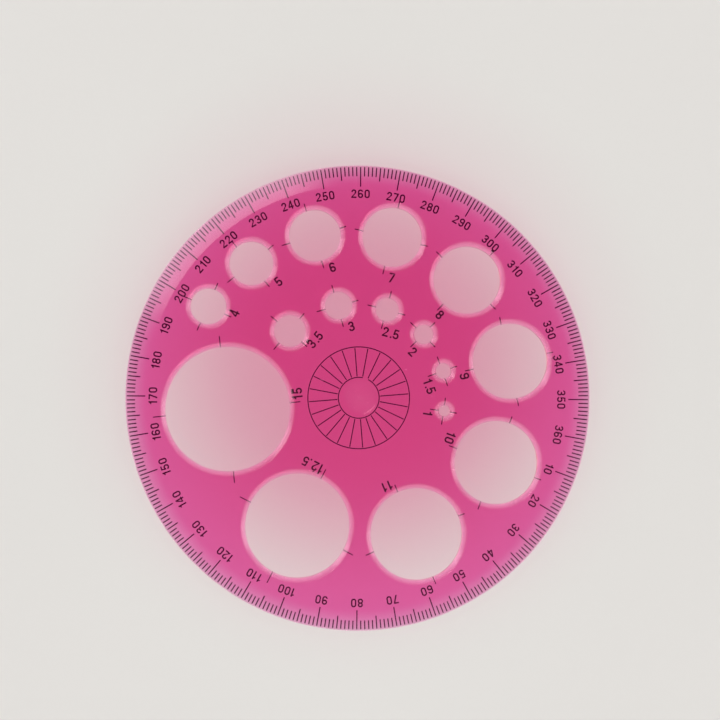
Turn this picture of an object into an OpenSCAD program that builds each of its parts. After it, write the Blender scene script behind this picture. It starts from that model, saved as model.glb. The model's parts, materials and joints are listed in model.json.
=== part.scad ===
// Circle template with a full-circle degree scale.
//
// A clear tinted disc, moulded in one piece, with sixteen drawing circles and
// a print on its back face. The print is read through the disc, so its
// figures run the right way round when they are seen from +Z.
//
// Frame: the disc lies print side down. Z = 0 is the face of the ink, the
// origin is the centre of the disc, and +X points at the scale's 360 mark.
// Degrees run clockwise as seen from above.

/* [Plate] */

// Outer diameter of the disc
plate_d = 116; // [114:1:122]

// Thickness of the disc
plate_t = 1.5; // [1.2:0.1:2]

// Width of the slope around the front face
bevel_w = 5; // [3:0.5:6]

// Thickness left at the outer edge, under the slope
edge_t = 0.6; // [0.4:0.1:0.9]

// Depth of the round mark that the mould's gate leaves in the front face
gate_depth = 0.1; // [0.05:0.05:0.3]

// Diameter of that round mark
gate_d = 8.6; // [6:0.2:9.4]

// Diameter of the pip in the middle of the round mark
pip_d = 0.8; // [0.5:0.1:1.5]

/* [Drawing circles] */

// Extra radius of each hole, which leaves room for a pencil lead
lead_room = 0.4; // [0.2:0.05:0.6]

// Width of the countersink around each hole
sink_w = 1.2; // [0.6:0.1:1.4]

// Depth of the countersink
sink_h = 0.9; // [0.5:0.1:1]

// Gap between the disc's edge and the largest ring that the outer circles touch
outer_gap = 10.1; // [9:0.1:11]

// Radius of the ring that the inner circles touch from outside
inner_ring_r = 20.5; // [19.5:0.1:21]

/* [Print] */

// Thickness of the ink
ink_t = 0.002; // [0.002:0.001:0.005]

// Width of the fine lines
line_w = 0.26; // [0.18:0.02:0.3]

// Width of the degree marks
mark_w = 0.3; // [0.2:0.02:0.4]

// Height of the figures on the degree scale
numeral_h = 2.15; // [1.8:0.05:2.4]

// Height of the figures beside the circles
label_h = 2.4; // [2:0.1:2.6]

// How far the print sits off the disc's centre
print_shift = 0.25; // [0:0.05:0.6]

// Direction of that shift, on the degree scale
print_shift_at = 150; // [0:1:360]

/* [Hidden] */

$fn = 96;

plate_r = plate_d / 2;
plate_top = ink_t + plate_t;
land_h = plate_t - sink_h; // straight wall of a hole, under its countersink
past = 0.5; // how far a cutter reaches past the face that it cuts

// The sixteen circles: drawn radius, place on the degree scale, the few degrees
// by which the printed cross marks are turned from that place, and the gap from
// a cross mark to the circle's figures.
// The first outer_count of them stand in the outer row.
circles = [
    [15, 164.5, -1, 0.5],
    [12.5, 105.5, 1.5, 0.5],
    [11, 57, 0, 0.5],
    [10, 15, -5, 0.5],
    [9, 336, 1.5, 0.5],
    [8, 302, 1.5, 0.5],
    [7, 271, 1.5, 1.6],
    [6, 244, -1.5, 1.4],
    [5, 220.5, -0.5, 1.8],
    [4, 200.5, -7.5, 0.5],
    [3.5, 213, -3.5, 0.5],
    [3, 246.5, -2.5, 1.2],
    [2.5, 277, -2.5, 0.5],
    [2, 305, -0.5, 0.5],
    [1.5, 332, -2, 0.5],
    [1, 358.5, -0.5, 0.5],
];
outer_count = 10;
last_circle = len(circles) - 1;

function drawn_r(i) = circles[i][0];
function hole_r(i) = drawn_r(i) + lead_room;
function place_r(i) = i < outer_count
    ? plate_r - outer_gap - drawn_r(i)
    : inner_ring_r + drawn_r(i);

// Degree marks: each kind runs from its inner radius out to the disc's edge.
edge_margin = 0.35;
one_mark_r = plate_r - 2.65;
five_mark_r = plate_r - 3.7;
ten_mark_r = plate_r - 5.2;
numeral_r = plate_r - 8.05; // foot of the scale's figures

// The centre figure: two rings and a spoke every 15 degrees.
ring_inner_r = 5.1;
ring_outer_r = 12.7;
spoke_step = 15;
ring_break = [271, 287]; // stretch of the inner ring that the print misses

// The cross marks around a circle reach this far past its drawn radius.
cross_reach = 2.4;
cross_reach_wide = 3.3; // around the two largest circles
wide_from_r = 12;
label_inset = 2.8; // from the drawn circle to the middle of its figures

// Shape of a figure, as fractions of its height.
fig_w = 0.62;
fig_stroke = 0.17;
fig_pitch = 0.775;
one_pitch = 0.62; // a 1 stands closer to its neighbours
point_pitch = 0.34;

ink = [0.05, 0.045, 0.05];
tint = [0.86, 0.2, 0.5, 0.6];

function circle_node(i) = str(
    "circle_",
    floor(drawn_r(i)),
    drawn_r(i) > floor(drawn_r(i)) ? "_5" : "",
    "_print"
);

// ---- placing ----

// Turns its children to a place on the degree scale.
module at_degree(degree) {
    rotate([0, 0, -degree]) children();
}

// Moves its children to the middle of circle i.
module at_circle(i) {
    at_degree(circles[i][1])
        translate([place_r(i), 0, 0])
            children();
}

// Moves the print off the disc's centre, as one sheet.
module print_sheet() {
    at_degree(print_shift_at)
        translate([print_shift, 0, 0])
            at_degree(-print_shift_at)
                children();
}

// A film of ink with the outline of its children.
module film() {
    color(ink)
        linear_extrude(ink_t)
            children();
}

// ---- the disc ----

// The disc before any holes: flat below, sloped around the rim above.
module blank() {
    rotate_extrude()
        polygon([
            [0, ink_t],
            [plate_r, ink_t],
            [plate_r, ink_t + edge_t],
            [plate_r - bevel_w, plate_top],
            [0, plate_top],
        ]);
}

// What circle i takes out of the disc: a straight hole and its countersink.
module circle_cutter(i) {
    translate([0, 0, -past])
        cylinder(r = hole_r(i), h = plate_top + 2 * past);
    translate([0, 0, ink_t + land_h])
        cylinder(
            r1 = hole_r(i),
            r2 = hole_r(i) + sink_w * (sink_h + past) / sink_h,
            h = sink_h + past
        );
}

module plate() {
    color(tint) {
        difference() {
            blank();
            for (i = [0:last_circle])
                at_circle(i) circle_cutter(i);
            translate([0, 0, plate_top - gate_depth])
                cylinder(d = gate_d, h = gate_depth + past);
        }
        translate([0, 0, plate_top - 2 * gate_depth])
            cylinder(d = pip_d, h = 2 * gate_depth);
    }
}

// ---- the figures ----
// Each figure stands on y = 0, is 1 high, and starts at x = 0.

// A rectangle w by h with its lower left corner at x, y and corners of radius r.
module round_block(x, y, w, h, r) {
    translate([x + r, y]) square([w - 2 * r, h]);
    translate([x, y + r]) square([w, h - 2 * r]);
    for (cx = [x + r, x + w - r], cy = [y + r, y + h - r])
        translate([cx, cy]) circle(r = r);
}

// The same block as a closed stroke.
module loop(x, y, w, h, r) {
    s = fig_stroke;
    difference() {
        round_block(x, y, w, h, r);
        round_block(x + s, y + s, w - 2 * s, h - 2 * s, r - s);
    }
}

module bowl_low() {
    loop(0, 0, fig_w, 0.6, 0.29);
}

module bowl_high() {
    loop(0.02, 0.44, fig_w - 0.04, 0.56, 0.27);
}

module figure_0() {
    loop(0, 0, fig_w, 1, 0.3);
}

module figure_1() {
    polygon([
        [0.07, 0.67],
        [0.07, 0.79],
        [0.2, 0.83],
        [0.28, 1],
        [0.42, 1],
        [0.42, 0],
        [0.25, 0],
        [0.25, 0.67],
    ]);
}

module figure_2() {
    difference() {
        bowl_high();
        translate([-0.1, 0.3]) square([0.42, 0.38]);
        translate([0, 0.38]) square([fig_w, 0.22]);
    }
    polygon([
        [0, 0],
        [fig_w, 0],
        [fig_w, fig_stroke],
        [0.2, fig_stroke],
        [0.6, 0.6],
        [0.44, 0.6],
        [0, 0.12],
    ]);
}

module figure_3() {
    difference() {
        bowl_high();
        translate([-0.1, 0.3]) square([0.38, 0.42]);
    }
    difference() {
        bowl_low();
        translate([-0.1, 0.27]) square([0.38, 0.43]);
    }
    translate([0.19, 0.45]) square([0.12, 0.14]);
}

module figure_4() {
    difference() {
        polygon([
            [0, 0.21],
            [0, 0.36],
            [0.34, 1],
            [0.5, 1],
            [0.5, 0.36],
            [0.62, 0.36],
            [0.62, 0.21],
            [0.5, 0.21],
            [0.5, 0],
            [0.34, 0],
            [0.34, 0.21],
        ]);
        polygon([
            [0.16, 0.36],
            [0.34, 0.36],
            [0.34, 0.71],
        ]);
    }
}

module figure_5() {
    difference() {
        loop(0, 0, fig_w, 0.65, 0.3);
        translate([-0.1, 0.27]) square([0.4, 0.5]);
    }
    polygon([
        [0.03, 0.4],
        [0.09, 1],
        [0.56, 1],
        [0.56, 0.84],
        [0.23, 0.84],
        [0.19, 0.62],
        [0.32, 0.65],
        [0.32, 0.5],
        [0.17, 0.4],
    ]);
}

module figure_6() {
    bowl_low();
    difference() {
        figure_0();
        translate([0.3, -0.1]) square([0.5, 0.83]);
    }
}

module figure_7() {
    polygon([
        [0.12, 0],
        [0.3, 0],
        [0.6, 0.84],
        [0.6, 1],
        [0.02, 1],
        [0.02, 0.84],
        [0.42, 0.84],
    ]);
}

module figure_8() {
    bowl_low();
    bowl_high();
}

module figure_9() {
    translate([fig_w, 1]) rotate(180) figure_6();
}

module figure_point() {
    translate([0.09, 0]) square(fig_stroke);
}

module figure(c) {
    if (c == "0") figure_0();
    if (c == "1") figure_1();
    if (c == "2") figure_2();
    if (c == "3") figure_3();
    if (c == "4") figure_4();
    if (c == "5") figure_5();
    if (c == "6") figure_6();
    if (c == "7") figure_7();
    if (c == "8") figure_8();
    if (c == "9") figure_9();
    if (c == ".") figure_point();
}

function pitch(c) = c == "." ? point_pitch : c == "1" ? one_pitch : fig_pitch;

// Where figure n of a string starts, and with n = len(word), where it ends.
function start_of(word, n) = n == 0 ? 0 : start_of(word, n - 1) + pitch(word[n - 1]);

function word_w(word) = start_of(word, len(word)) - fig_pitch + fig_w;

// A number centred on x = 0, standing on y = 0, h high.
module number(word, h) {
    scale(h)
        translate([-word_w(word) / 2, 0])
            for (n = [0:len(word) - 1])
                translate([start_of(word, n), 0]) figure(word[n]);
}

// ---- the degree scale ----

// A line along X from the inner radius to past the disc's edge.
module mark(inner_r, w) {
    translate([inner_r, -w / 2])
        square([plate_r + 1 - inner_r, w]);
}

// Marks at each listed degree, cut off just inside the disc's edge.
module marks(degrees, inner_r) {
    film()
        intersection() {
            circle(r = plate_r - edge_margin);
            print_sheet()
                for (d = degrees)
                    at_degree(d) mark(inner_r, mark_w);
        }
}

module scale_marks_1deg() {
    marks([for (d = [1:359]) if (d % 5 != 0) d], one_mark_r);
}

module scale_marks_5deg() {
    marks([5:10:355], five_mark_r);
}

module scale_marks_10deg() {
    marks([10:10:360], ten_mark_r);
}

// Figures every 10 degrees, with their tops to the edge.
module scale_numerals() {
    film()
        print_sheet()
            for (d = [10:10:360])
                at_degree(d)
                    translate([numeral_r, 0])
                        rotate(-90) number(str(d), numeral_h);
}

// ---- the centre figure ----

module ring(r) {
    difference() {
        circle(r = r + line_w / 2);
        circle(r = r - line_w / 2);
    }
}

// A sector of the sheet between two places on the scale.
module sector(from, to, r) {
    polygon([
        [0, 0],
        [r * cos(from), -r * sin(from)],
        [r * cos(to), -r * sin(to)],
    ]);
}

module centre_rings() {
    film()
        print_sheet() {
            ring(ring_outer_r);
            difference() {
                ring(ring_inner_r);
                sector(ring_break[0], ring_break[1], ring_outer_r);
            }
        }
}

// The spokes fill the space between the rings and touch neither.
module centre_spokes() {
    film()
        print_sheet()
            for (d = [0:spoke_step:359])
                at_degree(d)
                    translate([ring_inner_r + line_w, -line_w / 2])
                        square([ring_outer_r - ring_inner_r - 2 * line_w, line_w]);
}

// ---- the print of one circle ----

function cross_r(i) = drawn_r(i) + (drawn_r(i) > wide_from_r ? cross_reach_wide : cross_reach);

// Four marks that point at the circle's middle.
module cross_marks(i) {
    for (a = [0:90:270])
        rotate(a)
            translate([0, -line_w / 2])
                square([cross_r(i), line_w]);
}

// The drawn radius in figures, on the side of the disc's centre.
// It stands clockwise of the cross mark there, and only the 10 stands the other way.
module circle_label(i) {
    word = str(drawn_r(i));
    side = drawn_r(i) == 10 ? 1 : -1;
    sideways = circles[i][3] + word_w(word) * label_h / 2;
    translate([-drawn_r(i) - label_inset, side * sideways])
        rotate(-90)
            translate([0, -label_h / 2])
                number(word, label_h);
}

module circle_print(i) {
    film()
        difference() {
            print_sheet()
                at_circle(i)
                    rotate(-circles[i][2]) {
                        cross_marks(i);
                        circle_label(i);
                    }
            at_circle(i) circle(r = hole_r(i));
        }
}

plate();
scale_marks_1deg();
scale_marks_5deg();
scale_marks_10deg();
scale_numerals();
centre_rings();
centre_spokes();
for (i = [0:last_circle])
    circle_print(i);
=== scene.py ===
"""The looks of the circle template: its clear moulded disc, its print, and a plain studio.

Lengths are in millimetres until a mesh, a node or an object takes them in metres. The
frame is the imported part's: the disc lies print side down on z = 0, and +X is the scale's
360 mark.
"""

import json
import math

import bmesh
import bpy
from mathutils import Matrix, Vector
from mathutils.geometry import delaunay_2d_cdt


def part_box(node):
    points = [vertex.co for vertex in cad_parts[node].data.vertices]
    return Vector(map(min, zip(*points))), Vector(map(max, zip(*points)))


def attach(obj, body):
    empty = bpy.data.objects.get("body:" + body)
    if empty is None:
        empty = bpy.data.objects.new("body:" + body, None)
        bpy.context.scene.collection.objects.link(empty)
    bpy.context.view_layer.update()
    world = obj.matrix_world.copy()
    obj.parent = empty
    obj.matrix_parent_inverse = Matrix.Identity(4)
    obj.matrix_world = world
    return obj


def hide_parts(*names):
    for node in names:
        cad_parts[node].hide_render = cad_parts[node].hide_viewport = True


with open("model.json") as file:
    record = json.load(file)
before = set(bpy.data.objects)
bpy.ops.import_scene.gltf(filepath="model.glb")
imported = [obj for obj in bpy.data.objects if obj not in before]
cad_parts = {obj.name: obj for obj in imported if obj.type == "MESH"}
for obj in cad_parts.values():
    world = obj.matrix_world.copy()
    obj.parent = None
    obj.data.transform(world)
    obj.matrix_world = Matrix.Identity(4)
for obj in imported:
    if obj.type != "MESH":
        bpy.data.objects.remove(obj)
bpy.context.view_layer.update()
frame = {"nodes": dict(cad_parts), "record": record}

MM = 0.001

# ---- the disc's design ----

LOW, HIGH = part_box("plate")
PLATE_R = min(HIGH.x, HIGH.y, -LOW.x, -LOW.y) / MM
TOP = HIGH.z / MM
BACK = 0.02  # the back face's height, which clears the ink films

BEVEL_W = 5.0
EDGE_T = 0.6
SINK_W = 1.2
SINK_H = 0.9

GATE_R = 4.3
GATE_DEPTH = 0.1
GATE_SLOPE_W = 0.38
PIP_R = 0.4
PIP_FOOT_R = 0.5
PIP_CROWN_R = 0.05
PIP_SHOULDER = 0.02  # how far the pip's edge and its crown stay under the front face
PIP_CROWN = 0.005

# Radii of the rounded edges, from the back or the outside inwards.
SHARP = 0.05
RIM_EDGES = [SHARP, 0.22, 0.3]
HOLE_EDGES = [SHARP, 0.12, 0.4]
GATE_EDGES = [0.03, 0.03, SHARP, 0.04]
ARC_STEPS = 4

RIM_STEPS = 720
GATE_STEPS = 96
MARGIN = 1.0  # a profile runs on this far into the flat faces, to give its end an edge


def hole_steps(r):
    return 8 * max(8, round(r * 1.6))


def ring_points(cx, cy, r, n):
    step = 2 * math.pi / n
    return [(cx + r * math.cos(k * step), cy + r * math.sin(k * step)) for k in range(n)]


def rounded(profile, radii):
    """The profile's points with each inner corner rounded off by an arc of its radius."""
    out = [profile[0]]
    for k, radius in enumerate(radii, start=1):
        p = Vector(profile[k])
        a = (Vector(profile[k - 1]) - p).normalized()
        b = (Vector(profile[k + 1]) - p).normalized()
        half = math.acos(max(-1.0, min(1.0, a.dot(b)))) / 2
        reach = radius / math.tan(half)
        middle = p + (a + b).normalized() * (radius / math.sin(half))
        u, v = p + a * reach - middle, p + b * reach - middle
        turn = math.pi - 2 * half
        for s in range(ARC_STEPS + 1):
            f = s / ARC_STEPS
            w = (u * math.sin((1 - f) * turn) + v * math.sin(f * turn)) / math.sin(turn)
            out.append(tuple(middle + w))
    out.append(profile[-1])
    return out


def lathe(bm, cx, cy, profile, n):
    """Rings of vertices along a profile of (radius, height) points, joined by quads.
    Returns the first and the last ring."""
    rings = []
    for r, z in profile:
        ring = [bm.verts.new((x * MM, y * MM, z * MM)) for x, y in ring_points(cx, cy, r, n)]
        rings.append(ring)
    for low, high in zip(rings, rings[1:]):
        for k in range(n):
            m = (k + 1) % n
            bm.faces.new((low[k], low[m], high[m], high[k]))
    return rings[0], rings[-1]


def fill(bm, outer, inners):
    """A flat sheet of triangles between an outer ring and the rings inside it."""
    loops = [outer] + inners
    verts = [v for loop in loops for v in loop]
    owner = [k for k, loop in enumerate(loops) for _ in loop]
    points = [Vector((v.co.x / MM, v.co.y / MM)) for v in verts]
    edges = []
    start = 0
    for loop in loops:
        n = len(loop)
        edges += [(start + k, start + (k + 1) % n) for k in range(n)]
        start += n
    _, _, faces, origins, _, _ = delaunay_2d_cdt(points, edges, [], 2, 1e-6)
    for face in faces:
        corners = [origins[i][0] for i in face]
        rings = {owner[c] for c in corners}
        if rings != {0} and len(rings) == 1:
            continue  # all on one inner ring, so inside a hole
        bm.faces.new([verts[c] for c in corners])


def lathe_rim(bm):
    profile = [
        (PLATE_R - MARGIN, BACK),
        (PLATE_R, BACK),
        (PLATE_R, EDGE_T),
        (PLATE_R - BEVEL_W, TOP),
        (PLATE_R - BEVEL_W - MARGIN, TOP),
    ]
    return lathe(bm, 0, 0, rounded(profile, RIM_EDGES)[1:-1], RIM_STEPS)


def lathe_hole(bm, x, y, r):
    profile = [
        (r + MARGIN, BACK),
        (r, BACK),
        (r, TOP - SINK_H),
        (r + SINK_W, TOP),
        (r + SINK_W + MARGIN, TOP),
    ]
    return lathe(bm, x, y, rounded(profile, HOLE_EDGES)[1:-1], hole_steps(r))


def lathe_gate(bm):
    profile = [
        (GATE_R + MARGIN, TOP),
        (GATE_R, TOP),
        (GATE_R - GATE_SLOPE_W, TOP - GATE_DEPTH),
        (PIP_FOOT_R, TOP - GATE_DEPTH),
        (PIP_R, TOP - PIP_SHOULDER),
        (PIP_CROWN_R, TOP - PIP_CROWN),
    ]
    return lathe(bm, 0, 0, rounded(profile, GATE_EDGES)[1:], GATE_STEPS)


def build_disc():
    bm = bmesh.new()
    back_outer, top_outer = lathe_rim(bm)
    back_holes, top_holes = [], []
    for mount in frame["record"]["mounts"]:
        if mount["kind"] == "bore":
            x, y, _ = (c / MM for c in mount["pos_m"])
            back, top = lathe_hole(bm, x, y, mount["dims"]["r_mm"])
            back_holes.append(back)
            top_holes.append(top)
    gate_top, pip_crown = lathe_gate(bm)
    bm.faces.new(pip_crown)
    fill(bm, back_outer, back_holes)
    fill(bm, top_outer, top_holes + [gate_top])
    bmesh.ops.recalc_face_normals(bm, faces=bm.faces)
    mesh = bpy.data.meshes.new("disc")
    bm.to_mesh(mesh)
    bm.free()
    mesh.polygons.foreach_set("use_smooth", [True] * len(mesh.polygons))
    made = bpy.data.objects.new("disc", mesh)
    bpy.context.scene.collection.objects.link(made)
    # The large flat faces set the normals along their edges, so they stay flat.
    weighted = made.modifiers.new("face_weights", "WEIGHTED_NORMAL")
    weighted.weight = 100
    return made


# ---- directions ----
# Right and down as the viewer sees them, and away from the viewer.

TURN = math.radians(10.49)  # how far the disc is turned clockwise in the view
RIGHT = Vector((math.cos(TURN), math.sin(TURN), 0))
DOWN = Vector((math.sin(TURN), -math.cos(TURN), 0))
AWAY = Vector((0, 0, -1))


def screen_direction(angle, tilt):
    """A direction tilted from straight up, towards an angle that runs clockwise from
    the viewer's right. Both are in degrees."""
    a, t = math.radians(angle), math.radians(tilt)
    flat = RIGHT * math.cos(a) + DOWN * math.sin(a)
    return flat * math.sin(t) - AWAY * math.cos(t)


# ---- nodes ----


class Nodes:
    """Short calls for the nodes used here. A value is a constant or a node's output."""

    def __init__(self, owner):
        owner.use_nodes = True
        self.tree = owner.node_tree
        self.tree.nodes.clear()

    def make(self, kind, inputs, **settings):
        """A node of a kind, with its settings made before its inputs are filled."""
        made = self.tree.nodes.new("ShaderNode" + kind)
        for key, value in settings.items():
            setattr(made, key, value)
        for key, value in inputs.items():
            if isinstance(value, bpy.types.NodeSocket):
                self.tree.links.new(value, made.inputs[key])
            else:
                made.inputs[key].default_value = value
        return made.outputs

    def noise(self, coords, scale, detail=2.0, roughness=0.5):
        inputs = {"Vector": coords, "Scale": scale, "Detail": detail, "Roughness": roughness}
        return self.make("TexNoise", inputs)["Fac"]

    def remap(self, value, source, target=(0.0, 1.0), smooth=False):
        """A range of values turned into another one, and held at its ends."""
        inputs = {
            "Value": value,
            "From Min": source[0],
            "From Max": source[1],
            "To Min": target[0],
            "To Max": target[1],
        }
        kind = "SMOOTHSTEP" if smooth else "LINEAR"
        return self.make("MapRange", inputs, interpolation_type=kind)["Result"]

    def math(self, operation, a, b=0.0):
        return self.make("Math", {0: a, 1: b}, operation=operation)["Value"]

    def vector_math(self, operation, output, *values):
        inputs = dict(enumerate(values))
        return self.make("VectorMath", inputs, operation=operation)[output]

    def height_of(self, vector):
        return self.make("SeparateXYZ", {"Vector": vector})["Z"]

    def ramp(self, value, first, second):
        """A blend between two stops, each a position and a colour."""
        outputs = self.make("ValToRGB", {"Fac": value})
        elements = outputs["Color"].node.color_ramp.elements
        for element, (position, colour) in zip(elements, (first, second)):
            element.position = position
            element.color = colour
        return outputs["Color"]

    def mix(self, factor, a, b, blend="MIX"):
        inputs = {"Factor": factor, "A": a, "B": b}
        return self.make("Mix", inputs, data_type="RGBA", blend_type=blend)["Result"]

    def bump(self, height, distance, strength=1.0, **normal):
        inputs = {"Height": height, "Distance": distance, "Strength": strength, **normal}
        return self.make("Bump", inputs)["Normal"]


# ---- materials ----
# The distances in bumps and the noise scales are in metres and per metre.


def scratches(nodes, coords, turn, seed):
    """Sparse fine scratches that run one way: 1 in a scratch, 0 between them."""
    mapping = {
        "Vector": coords,
        "Location": (seed, seed, 0),
        "Rotation": (0, 0, math.radians(turn)),
        "Scale": (60, 2600, 1),  # each is far longer than it is wide
    }
    streaks = nodes.noise(nodes.make("Mapping", mapping)["Vector"], 1.0)
    return nodes.remap(streaks, (0.7, 0.74))


def frosting(nodes, coords):
    """How frosted the disc's surface is. The countersinks are, which only their slope
    shows, and most of all next to the hole. The gate mark is too, a little."""
    slope = SINK_W / math.hypot(SINK_W, SINK_H)  # the height of a countersink's normal
    height = nodes.height_of(nodes.make("TexCoord", {})["Normal"])
    off = nodes.math("ABSOLUTE", nodes.math("SUBTRACT", height, slope))
    on_sink = nodes.remap(off, (0.06, 0.14), (1.0, 0.0))
    sink_span = ((TOP - SINK_H) * MM, TOP * MM)
    sink = nodes.remap(nodes.height_of(coords), sink_span, (0.22, 0.05))
    gate_edge = ((GATE_R - 0.5) * MM, (GATE_R - 0.3) * MM)
    from_axis = nodes.vector_math("LENGTH", "Value", coords)
    gate = nodes.remap(from_axis, gate_edge, (0.012, 0.0))
    return nodes.math("MAXIMUM", nodes.math("MULTIPLY", on_sink, sink), gate)


def plastic_material():
    """Clear plastic, pink because of what it absorbs on the way through."""
    material = bpy.data.materials.new("clear_pink_plastic")
    nodes = Nodes(material)
    coords = nodes.make("TexCoord", {})["Object"]
    haze = nodes.remap(nodes.noise(coords, 90.0, 4.0, 0.6), (0.35, 0.65), (0.015, 0.06))
    one_way, other_way = scratches(nodes, coords, 35, 0.2), scratches(nodes, coords, -62, 3.7)
    lines = nodes.math("ADD", one_way, other_way)
    frost = frosting(nodes, coords)
    waves = nodes.bump(nodes.noise(coords, 45.0, 1.0), 0.00002)
    clear, milky = (0.975, 0.97, 0.98, 1.0), (1.0, 0.6, 0.8, 1.0)
    surface = {
        "Base Color": nodes.mix(nodes.remap(frost, (0.0, 0.1)), clear, milky),
        "Transmission Weight": nodes.math("SUBTRACT", 1.0, frost),
        "IOR": 1.49,
        "Roughness": nodes.math("ADD", haze, nodes.remap(lines, (0.0, 1.0), (0.0, 0.22))),
        "Normal": nodes.bump(lines, 0.000004, 0.6, Normal=waves),
    }
    absorbing = {"Color": (0.997, 0.36, 0.776, 1.0), "Density": 1850.0}
    output = {
        "Surface": nodes.make("BsdfPrincipled", surface)["BSDF"],
        "Volume": nodes.make("VolumeAbsorption", absorbing)["Volume"],
    }
    nodes.make("OutputMaterial", output)
    return material


def ink_material():
    """Matt black ink, uneven in tone and slightly rough."""
    material = bpy.data.materials.new("black_ink")
    nodes = Nodes(material)
    coords = nodes.make("TexCoord", {})["Object"]
    grain = nodes.noise(coords, 4000.0, 3.0)
    patches = nodes.noise(coords, 160.0)
    darker, paler = (0.03, 0.01, 0.018, 1), (0.055, 0.018, 0.032, 1)
    surface = {
        "Base Color": nodes.ramp(patches, (0.3, darker), (0.7, paler)),
        "Roughness": nodes.remap(grain, (0.0, 1.0), (0.4, 0.75)),
        "Specular IOR Level": 0.1,
        "Normal": nodes.bump(grain, 0.000005),
    }
    nodes.make("OutputMaterial", {"Surface": nodes.make("BsdfPrincipled", surface)["BSDF"]})
    return material


# The disc's pink shadow, the light that it lets through to the floor, is painted on the
# floor's colour. It is full around a point near the disc's middle, fades outwards, and is
# weaker past the rim.
GLOW_CENTRE = screen_direction(270, 90) * 9.0
GLOW_COLOUR = (0.89, 0.4, 0.55, 1)
GLOW_REACH = (83.0, 20.0)
GLOW_RIM = (66.0, 50.0)
GLOW_PAST_RIM = 0.5


def floor_material():
    """A pale, matt floor that is see-through from below, with the disc's pink shadow painted
    on it.
    """
    material = bpy.data.materials.new("pale_floor")
    nodes = Nodes(material)
    coords = nodes.make("TexCoord", {})["Object"]
    fine = nodes.noise(coords, 900.0, 3.0)
    broad = nodes.noise(coords, 6.0)
    pale = nodes.ramp(broad, (0.0, (0.7, 0.685, 0.665, 1)), (1.0, (0.75, 0.735, 0.715, 1)))

    # The disc's painted pink shadow: how much of it each point of the floor gets.
    centre = Vector((GLOW_CENTRE.x, GLOW_CENTRE.y, 0)) * MM
    flat = nodes.vector_math("MULTIPLY_ADD", "Vector", coords, (1, 1, 0), -centre)
    distance = nodes.vector_math("LENGTH", "Value", flat)
    spread = nodes.remap(distance, [r * MM for r in GLOW_REACH], smooth=True)
    from_disc = nodes.vector_math("LENGTH", "Value", coords)
    rim = [r * MM for r in GLOW_RIM]
    under = nodes.remap(from_disc, rim, (GLOW_PAST_RIM, 1.0), smooth=True)
    amount = nodes.math("MULTIPLY", spread, under)

    surface = {
        "Base Color": nodes.mix(amount, pale, GLOW_COLOUR, "MULTIPLY"),
        "Roughness": nodes.remap(fine, (0.0, 1.0), (0.75, 0.95)),
        "Normal": nodes.bump(fine, 0.00001),
    }
    either = {
        "Fac": nodes.make("NewGeometry", {})["Backfacing"],
        1: nodes.make("BsdfPrincipled", surface)["BSDF"],
        2: nodes.make("BsdfTransparent", {})["BSDF"],
    }
    nodes.make("OutputMaterial", {"Surface": nodes.make("MixShader", either)["Shader"]})
    return material


# ---- pieces ----
# The disc and the ink don't take part in the light on the floor, so that light passes
# the plastic once, on its way to the camera.

disc = build_disc()
disc.data.materials.append(plastic_material())
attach(disc, "root")
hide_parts("plate")
disc.visible_diffuse = False

INK = ink_material()
for name, piece in frame["nodes"].items():
    if name != "plate":
        piece.data.materials.clear()
        piece.data.materials.append(INK)
        piece.visible_diffuse = False

FLOOR_HALF = 3.0  # metres
FLOOR_Z = -0.1
floor_corners = [
    (x * FLOOR_HALF, y * FLOOR_HALF, 0) for x, y in ((-1, -1), (1, -1), (1, 1), (-1, 1))
]
floor_mesh = bpy.data.meshes.new("floor")
floor_mesh.from_pydata(floor_corners, [], [(0, 1, 2, 3)])
floor_mesh.materials.append(floor_material())
floor = bpy.data.objects.new("floor", floor_mesh)
bpy.context.scene.collection.objects.link(floor)
floor.location.z = FLOOR_Z * MM

# ---- camera ----
# The view is given in the disc's own plane, by its right, down and away directions.

PITCH = math.radians(-1.22)
YAW = math.radians(-3.53)
VIEW_SHIFT = Vector((-0.07, 9.34, 374.18))  # the disc's middle as the camera sees it
VIEW_PLANE_Z = 0.5
LENS = 75.0
SENSOR = 36.0
NEAREST, FURTHEST = 0.01, 50.0  # metres

plane_axes = Matrix((RIGHT, DOWN, AWAY)).transposed()
view = Matrix.Rotation(PITCH, 3, "X") @ Matrix.Rotation(YAW, 3, "Y")
eye = plane_axes @ (view.transposed() @ -VIEW_SHIFT) + Vector((0, 0, VIEW_PLANE_Z))
cam_right, cam_down, cam_away = (plane_axes @ Vector(row) for row in view)

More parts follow.
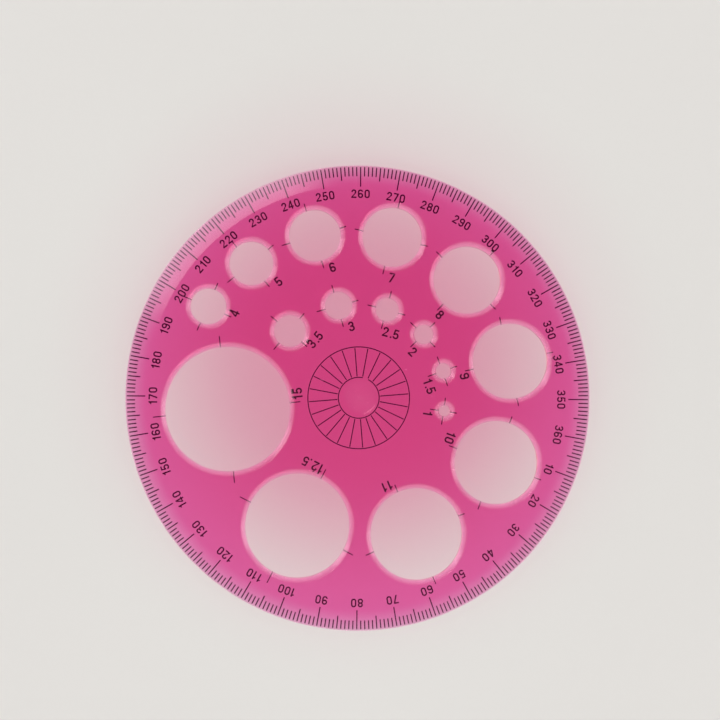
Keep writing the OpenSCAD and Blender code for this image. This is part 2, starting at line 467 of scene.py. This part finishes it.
camera_data = bpy.data.cameras.new("camera")
camera_data.lens = LENS
camera_data.sensor_width = SENSOR
camera_data.clip_start = NEAREST
camera_data.clip_end = FURTHEST
camera = bpy.data.objects.new("camera", camera_data)
bpy.context.scene.collection.objects.link(camera)
facing = Matrix((cam_right, -cam_down, -cam_away)).transposed().to_4x4()
camera.matrix_world = Matrix.Translation(eye * MM) @ facing
bpy.context.scene.camera = camera

# ---- light ----
# The studio is a dim sky with soft lights in it. Each has a direction, the angles from
# it in degrees at which its light begins and is full, and its strength.

SKY_COLOUR = (1.0, 0.99, 0.98, 1)
SKY_STRENGTH = 0.12
SKY_LIGHTS = [
    (screen_direction(236, 29), 17, 9, 3.0),  # the key, which the rim's slope mirrors
    (screen_direction(0, 0), 35, 50, 0.85),  # all round, but not overhead
    (screen_direction(209, 74), 19, 7, 2.4),  # low, for the countersinks on one side
    (screen_direction(356, 74), 18, 7, 1.8),  # low, for those on the other
    (screen_direction(90, 90), 98.63, 75.52, 0.4),  # from the viewer's side
    (screen_direction(225, 48), 8, 4, 8.0),  # small and bright, for glints
]

world = bpy.data.worlds.new("studio")
sky = Nodes(world)
towards = sky.make("TexCoord", {})["Generated"]
total = SKY_STRENGTH
for direction, begins, full, strength in SKY_LIGHTS:
    aligned = sky.vector_math("DOT_PRODUCT", "Value", towards, direction)
    edges = (math.cos(math.radians(begins)), math.cos(math.radians(full)))
    total = sky.math("ADD", total, sky.remap(aligned, edges, (0.0, strength), smooth=True))
background = sky.make("Background", {"Color": SKY_COLOUR, "Strength": total})["Background"]
sky.make("OutputWorld", {"Surface": background})
bpy.context.scene.world = world

# ---- how the rays are followed ----

world.cycles.sampling_method = "NONE"  # no shadow rays, which the disc would stop
cycles = bpy.context.scene.cycles
cycles.blur_glossy = 0.0  # else the plastic turns dark
# Light bounces many times inside the rim and the holes' walls, which go black without.
MANY_BOUNCES = 40
cycles.max_bounces = MANY_BOUNCES
cycles.transmission_bounces = MANY_BOUNCES
cycles.glossy_bounces = MANY_BOUNCES
settings = bpy.context.scene.view_settings
settings.view_transform = "Standard"
settings.look = "None"
